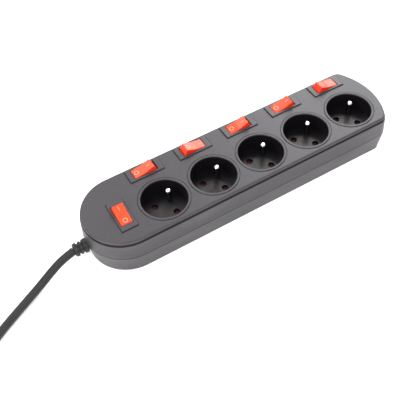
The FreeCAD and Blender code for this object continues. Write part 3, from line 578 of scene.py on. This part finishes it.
@dataclass(frozen=True)
class StripedInsulation:
    """Smooth wire insulation, in one colour or with a second stripe."""

    name: str
    tone: Colour
    stripe: Colour | None = None

    def build(self) -> bpy.types.Material:
        """Makes the material."""
        graph = Graph(self.name)
        cloud = graph.noise(200.0, 3.0)
        other = self.stripe or darker(self.tone, 0.25)
        wave = ((graph.axis("Y") + graph.axis("Z") * 0.4) * 2200.0).sine()
        edge = wave.smooth(-0.08, 0.08) if self.stripe else cloud
        tone = graph.blend(edge, self.tone, other)
        return graph.finish(
            Base_Color=tone, Roughness=0.35 + cloud * 0.12,
            Normal=graph.bump(graph.noise(1500.0), 0.00002),
        )


@dataclass(frozen=True)
class Laminate:
    """Green circuit board with tracks and a fine glass weave."""

    name: str
    tone: Colour

    def build(self) -> bpy.types.Material:
        """Makes the material."""
        graph = Graph(self.name)
        weave = (graph.axis("X") * 6000.0).sine() * (graph.axis("Y") * 6000.0).sine()
        track = graph.noise(180.0, 0.0).smooth(0.52, 0.55)
        tone = graph.blend(track, self.tone, darker(self.tone, -0.5))
        return graph.finish(
            Base_Color=tone, Roughness=0.32 + track * 0.1,
            Normal=graph.bump(weave * 0.3 + track, 0.00003),
        )


@dataclass(frozen=True)
class Ink:
    """Pale printed ink with a slightly broken surface and an optional painted glow."""

    name: str
    tone: Colour
    painted_glow_strength: float = 0.0

    def build(self) -> bpy.types.Material:
        """Makes the material."""
        graph = Graph(self.name)
        speck = graph.noise(2200.0, 3.0)
        tone = graph.blend(speck.smooth(0.3, 0.7), darker(self.tone, 0.12), self.tone)
        # Painted glow: the ink can give off light of its own.
        return graph.finish(
            Base_Color=tone, Roughness=0.4 + speck * 0.15, Emission_Color=self.tone,
            Emission_Strength=self.painted_glow_strength, Normal=graph.bump(speck, 0.00002),
        )


@dataclass(frozen=True)
class StudioPaper:
    """Matt white backdrop paper."""

    name: str
    tone: Colour
    glow: float = 0.0

    def build(self) -> bpy.types.Material:
        """Makes the material."""
        graph = Graph(self.name)
        fibre = graph.noise(700.0, 4.0)
        tone = graph.blend(fibre, self.tone, darker(self.tone, 0.01))
        return graph.finish(
            Base_Color=tone, Roughness=0.9, Specular_IOR_Level=0.1,
            Emission_Color=self.tone, Emission_Strength=self.glow,
            Normal=graph.bump(fibre, 0.00003),
        )


def dress(piece: bpy.types.Object, material: bpy.types.Material) -> None:
    """Puts one material on every slot of a piece.

    Args:
        piece: The object to dress.
        material: Its only material from now on.
    """
    if not piece.material_slots:
        piece.data.materials.append(material)
    for holder in piece.material_slots:
        holder.material = material


def mesh_piece(name: str, fill: Callable[[bmesh.types.BMesh], None]) -> bpy.types.Object:
    """Makes a mesh piece and puts it in the scene.

    Args:
        name: Name of the piece.
        fill: Adds the piece's geometry to an empty bmesh, in metres.

    Returns:
        The new object.
    """
    bm = bmesh.new()
    fill(bm)
    bmesh.ops.recalc_face_normals(bm, faces=bm.faces)
    mesh = bpy.data.meshes.new(name)
    bm.to_mesh(mesh)
    bm.free()
    piece = bpy.data.objects.new(name, mesh)
    bpy.context.scene.collection.objects.link(piece)
    return piece


@dataclass
class Palette:
    """The finish of each material slot, made once and shared."""

    sinks: tuple[Point, ...]
    made: dict[Slot, bpy.types.Material] = field(default_factory=dict)

    def finishes(self) -> dict[Slot, Any]:
        """The finish that each slot is made from."""
        black = (0.006, 0.0052, 0.0065)
        brass = (0.78, 0.58, 0.28)
        return {
            # The case's upright faces carry a painted sheen.
            Slot.CASE: MouldedPlastic(
                "case_grey", (0.041, 0.0375, 0.043), roughness=0.45, side_sheen=0.16, sinks=self.sinks
            ),
            Slot.BEZEL: MouldedPlastic("bezel_grey", (0.044, 0.040, 0.045), 0.42, 2200.0, 0.00003),
            # The wells' near floors carry painted light.
            Slot.WELL: WellPlastic(
                "well_black", (0.0035, 0.0025, 0.004), (0.045, 0.040, 0.042),
                (-0.0751, -0.0095, 0.0), 0.0465,
            ),
            # Painted shade: the shutters' red is darkened to how it looks deep in the wells.
            Slot.SHUTTER: MouldedPlastic("shutter_red", (0.05, 0.005, 0.003), 0.6, 1800.0),
            # The rockers carry a painted sheen on top and a painted glow.
            Slot.ROCKER: ClearRed(
                "rocker_red", (0.74, 0.024, 0.003), (0.80, 0.064, 0.014), (1.0, 0.055, 0.005), 0.16
            ),
            Slot.BLADE: Metal("blade_brass", brass, 0.3),
            Slot.PIN: Metal("pin_nickel", (0.86, 0.85, 0.83), 0.14),
            Slot.BRASS: Metal("contact_brass", brass, 0.3, (1.0, 0.1, 1.0)),
            Slot.LAMP: Glass("lamp_glass", (0.9, 0.62, 0.5)),
            Slot.BOARD: Laminate("board_green", (0.02, 0.17, 0.06)),
            Slot.VARISTOR: MouldedPlastic("varistor_blue", (0.02, 0.09, 0.32), 0.35, 900.0),
            Slot.EARTH: StripedInsulation("wire_earth", (0.12, 0.45, 0.05), (0.75, 0.62, 0.03)),
            Slot.LIVE: StripedInsulation("wire_live", (0.16, 0.06, 0.025)),
            Slot.NEUTRAL: StripedInsulation("wire_neutral", (0.03, 0.12, 0.5)),
            Slot.CORD: Jacket("cord_black", black),
            Slot.CLAMP: MouldedPlastic("clamp_black", black, 0.5),
            Slot.TIE: Strap("tie_black", (0.016, 0.015, 0.017)),
            Slot.SCREW: Metal("screw_zinc", (0.62, 0.62, 0.6), 0.3, (1.0, 1.0, 1.0), 0.3),
            Slot.PLUG: MouldedPlastic("plug_black", black, 0.44, 1300.0, 0.00005),
        }

    def build(self) -> None:
        """Makes every material."""
        for slot, finish in self.finishes().items():
            self.made[slot] = finish.build()
        LOG.info("palette: %d finishes", len(self.made))

    def __getitem__(self, slot: Slot) -> bpy.types.Material:
        """The material of a slot."""
        return self.made[slot]


@dataclass(frozen=True)
class ViewCamera:
    """Camera above the near left of the strip, rolled a little to its right."""

    azimuth: float = -26.99
    elevation: float = 51.97
    roll: float = 4.38
    place: Point = (-0.20098, -0.31961, 0.46033)
    lens: float = 59.98
    sensor: float = 36.0

    def axes(self) -> Matrix:
        """Columns of the camera's right, up and backward directions."""
        turn = math.radians(self.azimuth)
        rise = math.radians(self.elevation)
        back = Vector((
            math.sin(turn) * math.cos(rise), -math.cos(turn) * math.cos(rise), math.sin(rise)
        ))
        right = Vector((0.0, 0.0, 1.0)).cross(back).normalized()
        up = back.cross(right)
        lean = math.radians(self.roll)
        rolled_right = right * math.cos(lean) - up * math.sin(lean)
        rolled_up = right * math.sin(lean) + up * math.cos(lean)
        return Matrix((rolled_right, rolled_up, back)).transposed()

    def build(self) -> bpy.types.Object:
        """Adds the camera and makes it the scene's own."""
        data = bpy.data.cameras.new("view_camera")
        data.lens = self.lens
        data.sensor_width = self.sensor
        data.clip_start = 0.01
        data.clip_end = 30.0
        camera = bpy.data.objects.new("view_camera", data)
        camera.matrix_world = Matrix.Translation(self.place) @ self.axes().to_4x4()
        bpy.context.scene.collection.objects.link(camera)
        bpy.context.scene.camera = camera
        LOG.info("camera: %.1f mm lens at %s", self.lens, self.place)
        return camera


@dataclass(frozen=True)
class SoftLight:
    """One square soft box: place, aim, width in metres and power in watts."""

    name: str
    place: Point
    aim: Point
    size: float
    power: float

    def build(self) -> None:
        """Adds the light."""
        data = bpy.data.lights.new(self.name, "AREA")
        data.shape = "SQUARE"
        data.size = self.size
        data.energy = self.power
        lamp = bpy.data.objects.new(self.name, data)
        lamp.location = self.place
        direction = Vector(self.aim) - Vector(self.place)
        lamp.rotation_euler = direction.to_track_quat("-Z", "Y").to_euler()
        bpy.context.scene.collection.objects.link(lamp)


@dataclass
class Studio:
    """White sweep, soft boxes and an even sky."""

    floor_half: float = 4.0
    sky: Colour = (1.0, 1.0, 1.0)
    sky_strength: float = 0.62
    lights: tuple[SoftLight, ...] = (
        SoftLight("key_light", (0.25, -0.85, 1.25), (0.0, 0.0, 0.0), 0.9, 8.0),
        SoftLight("left_light", (-1.1, -0.35, 0.8), (-0.1, 0.0, 0.0), 1.0, 14.0),
        SoftLight("left_sheen", (-0.28, 0.62, 0.85), (-0.14, 0.0, 0.0), 0.35, 2.5),
        SoftLight("back_light", (0.85, 0.75, 0.72), (0.03, 0.0, 0.0), 0.9, 17.0),
    )

    def build(self) -> None:
        """Adds the floor, the lights and the sky."""
        half = self.floor_half

        def fill(bm: bmesh.types.BMesh) -> None:
            """Adds the floor's one face."""
            corners = [(-half, -half, 0), (half, -half, 0), (half, half, 0), (-half, half, 0)]
            bm.faces.new([bm.verts.new(corner) for corner in corners])

        floor = mesh_piece("studio_floor", fill)
        dress(floor, StudioPaper("studio_paper", (0.93, 0.93, 0.935), 0.33).build())
        for light in self.lights:
            light.build()
        world = bpy.data.worlds.new("studio_sky")
        world.use_nodes = True
        background = world.node_tree.nodes["Background"]
        background.inputs["Color"].default_value = (*self.sky, 1.0)
        background.inputs["Strength"].default_value = self.sky_strength
        bpy.context.scene.world = world
        bpy.context.scene.view_settings.view_transform = "Standard"
        LOG.info("studio: %d lights", len(self.lights))


@dataclass
class MainsLead:
    """Flex from the gland to the plug, with its put-away length coiled and tied."""

    diameter: float = 0.007
    length: float = 1.5
    route: tuple[Point, ...] = (
        (-0.1557, 0.0, 0.0160),
        (-0.1665, -0.0012, 0.0139),
        (-0.1780, -0.0046, 0.0106),
        (-0.1915, -0.0096, 0.0063),
        (-0.2080, -0.0165, 0.0037),
        (-0.2290, -0.0275, 0.0035),
        (-0.2520, -0.0415, 0.0035),
    )
    tail: tuple[Point, ...] = (
        (-0.3260, -0.0600, 0.0240),
        (-0.3407, -0.0505, 0.0220),
        (-0.3510, -0.0363, 0.0200),
        (-0.3555, -0.0194, 0.0186),
    )
    coil_centre: tuple[float, float] = (-0.2998, -0.0206)
    coil_start: float = -56.0
    turns: float = 5.128
    layers: int = 4
    outer_radius: float = 0.0440
    inner_radius: float = 0.0342
    layer_pitch: float = 0.0071
    points_a_turn: int = 14
    wobbles: tuple[tuple[float, float], ...] = ((0.00012, 2.3), (0.00010, 0.9))
    climb_from: float = 0.90
    climb_power: float = 1.5

    def coil_points(self) -> list[Point]:
        """Points of the coil, wound clockwise in flat spirals, one on another."""
        steps = round(self.turns * self.points_a_turn)
        points = []
        for step in range(steps + 1):
            progress = step / steps
            layer = min(int(progress * self.layers), self.layers - 1)
            along = progress * self.layers - layer
            inward = along if layer % 2 == 0 else 1.0 - along
            radius = self.outer_radius + (self.inner_radius - self.outer_radius) * inward
            radius += sum(reach * math.sin(step * pace) for reach, pace in self.wobbles)
            angle = math.radians(self.coil_start - 360.0 * self.turns * progress)
            points.append((
                self.coil_centre[0] + radius * math.cos(angle),
                self.coil_centre[1] + radius * math.sin(angle),
                self.diameter / 2 + layer * self.layer_pitch + self._climb(along, layer),
            ))
        return points

    def _climb(self, along: float, layer: int) -> float:
        """Rise towards the next layer near the end of one."""
        if layer >= self.layers - 1:
            return 0.0
        share = max(0.0, (along - self.climb_from) / (1.0 - self.climb_from))
        return self.layer_pitch * share ** self.climb_power

    def build(self, nodes: Mapping[str, bpy.types.Object], palette: Palette) -> None:
        """Adds the flex as one curve that stands for its plain solids.

        Args:
            nodes: The frame's objects by node name; not used.
            palette: The finishes by slot.
        """
        points = list(self.route) + self.coil_points() + list(self.tail)
        curve = bpy.data.curves.new("mains_cord", "CURVE")
        curve.dimensions = "3D"
        curve.bevel_depth = self.diameter / 2
        curve.bevel_resolution = 6
        curve.resolution_u = 8
        curve.use_fill_caps = True
        spline = curve.splines.new("NURBS")
        spline.points.add(len(points) - 1)
        for target, point in zip(spline.points, points):
            target.co = (*point, 1.0)
        spline.order_u = 3
        spline.use_endpoint_u = True
        cord = bpy.data.objects.new("mains_cord", curve)
        bpy.context.scene.collection.objects.link(cord)
        dress(cord, palette[Slot.CORD])
        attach(cord, "case")
        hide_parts("cord_tube", "cord_coil", "cord_tail")
        LOG.info("mains_cord: %d points", len(points))


@dataclass(frozen=True)
class SwitchPlace:
    """Where one rocker switch sits on the panel and how it stands."""

    name: str
    x: float
    y: float
    turned: bool
    rest: Rest


@dataclass
class RockerMarks:
    """Ring and stroke printed on the two halves of a dished rocker's face."""

    pivot_height: float = 0.0370
    tilt: float = 15.0
    ridge_out: float = 0.0090
    ridge_up: float = 0.0062
    dish_up: float = 0.0052
    mark_out: float = 0.0057
    ring_radius: float = 0.0021
    ring_width: float = 0.00055
    stroke_length: float = 0.0034
    stroke_width: float = 0.00055
    proud: float = 0.00004
    thickness: float = 0.00008
    ring_steps: int = 40
    end_steps: int = 8

    def placing(self, place: SwitchPlace) -> Matrix:
        """Matrix from the switch's own frame, about its pivot, to the panel."""
        lean = Matrix.Rotation(math.radians(self.tilt * place.rest.value), 4, "Y")
        turn = Matrix.Rotation(math.radians(90.0 if place.turned else 0.0), 4, "Z")
        return Matrix.Translation((place.x, place.y, self.pivot_height)) @ turn @ lean

    def on_face(self, side: int, along: float, across: float, lift: float) -> Vector:
        """Point on one half of the face.

        Args:
            side: -1 for the half that is pressed when off, +1 for the other.
            along: Distance outward from the mark's centre.
            across: Distance across the rocker.
            lift: Height above the face.

        Returns:
            The point in the switch's own frame.
        """
        slope = (self.ridge_up - self.dish_up) / self.ridge_out
        out = self.mark_out + along
        return Vector((side * out, across, self.dish_up + slope * out + lift))

    def ring(self, place: SwitchPlace) -> bpy.types.Object:
        """Ring on the half that is pressed when the switch is off."""
        matrix = self.placing(place)
        count = self.ring_steps
        radii = (self.ring_radius - self.ring_width, self.ring_radius)

        def fill(bm: bmesh.types.BMesh) -> None:
            """Adds the ring as four rows of points, joined round."""
            rows = []
            for lift in (self.proud - self.thickness, self.proud):
                for radius in radii:
                    row = []
                    for step in range(count):
                        angle = 2 * math.pi * step / count
                        spot = self.on_face(
                            -1, radius * math.cos(angle), radius * math.sin(angle), lift
                        )
                        row.append(bm.verts.new(matrix @ spot))
                    rows.append(row)
            low_in, low_out, high_in, high_out = rows
            for first, second in ((high_in, high_out), (low_out, low_in), (low_in, high_in),
                                  (high_out, low_out)):
                for step in range(count):
                    after = (step + 1) % count
                    bm.faces.new((first[step], first[after], second[after], second[step]))

        return mesh_piece(f"{place.name}_{Mark.RING.value}_mark", fill)

    def stroke(self, place: SwitchPlace) -> bpy.types.Object:
        """Short stroke along the other half, with rounded ends."""
        matrix = self.placing(place)
        half_width = self.stroke_width / 2
        half_length = self.stroke_length / 2 - half_width
        outline = []
        for step in range(self.end_steps + 1):
            angle = -math.pi / 2 + math.pi * step / self.end_steps
            outline.append((half_length + half_width * math.cos(angle),
                            half_width * math.sin(angle)))
        outline += [(-along, -across) for along, across in outline]

        def fill(bm: bmesh.types.BMesh) -> None:
            """Adds the stroke as a thin plate of its outline."""
            levels = []
            for lift in (self.proud - self.thickness, self.proud):
                levels.append([
                    bm.verts.new(matrix @ self.on_face(1, along, across, lift))
                    for along, across in outline
                ])
            low, high = levels
            bm.faces.new(high)
            bm.faces.new(list(reversed(low)))
            for step in range(len(outline)):
                after = (step + 1) % len(outline)
                bm.faces.new((low[step], low[after], high[after], high[step]))

        return mesh_piece(f"{place.name}_{Mark.STROKE.value}_mark", fill)


@dataclass
class SwitchBank:
    """The main switch and one switch for each socket."""

    first_x: float = -0.0751
    pitch: float = 0.0465
    row_y: float = 0.0256
    main_place: tuple[float, float] = (-0.1119, -0.0062)
    states: tuple[Rest, ...] = (Rest.OFF, Rest.ON, Rest.OFF, Rest.OFF, Rest.ON)
    marks: RockerMarks = field(default_factory=RockerMarks)

    def places(self) -> list[SwitchPlace]:
        """Every switch, the main one first."""
        listed = [SwitchPlace("main_switch", *self.main_place, True, Rest.OFF)]
        for index, state in enumerate(self.states):
            x = self.first_x + index * self.pitch
            listed.append(SwitchPlace(f"socket_switch_{index + 1}", x, self.row_y, False, state))
        return listed

    def build(self) -> None:
        """Adds the printed marks, which ride on the rockers."""
        # The marks have a painted glow.
        ink = Ink("mark_ink", (0.96, 0.34, 0.24), 0.1).build()
        for place in self.places():
            for make in (self.marks.ring, self.marks.stroke):
                mark = make(place)
                dress(mark, ink)
                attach(mark, f"{place.name}_rocker")
                LOG.info("%s", mark.name)


@dataclass(frozen=True)
class FramePieces:
    """The frame's own nodes, each with the finish of its slot or one of its own.

    The earth pins' shafts carry painted shade, to look as they do deep in the wells.
    """

    # Painted shade on the earth pins' shafts.
    shaded_pin: Metal = Metal("pin_worn", (0.86, 0.85, 0.83), 0.14, painted_shade_below=0.0374)
    shaded_pin_node: str = "earth_pins"

    def dress_all(
        self, nodes: Mapping[str, bpy.types.Object], record: Mapping[str, Any], palette: Palette
    ) -> None:
        """Gives every node the finish of its slot.

        Args:
            nodes: The frame's objects by node name.
            record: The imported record, which lists each node's slot.
            palette: The finishes by slot.
        """
        for entry in record["subparts"]:
            node = entry["node"]
            slot = Slot(entry["material_slot"])
            is_shaded_pin = node == self.shaded_pin_node
            dress(nodes[node], self.shaded_pin.build() if is_shaded_pin else palette[slot])
            LOG.info("%s: %s", node, slot.value)


def main() -> None:
    """Builds the studio, the lead and every finish in order."""
    logging.basicConfig(level=logging.INFO, format="%(message)s")
    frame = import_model()
    palette = Palette(tuple((x, FRONT_SCREW_Y, 0.0) for x in SCREW_X))
    palette.build()
    ViewCamera().build()
    MainsLead().build(frame["nodes"], palette)
    FramePieces().dress_all(frame["nodes"], frame["record"], palette)
    SwitchBank().build()
    Studio().build()


if __name__ == "__main__":
    main()
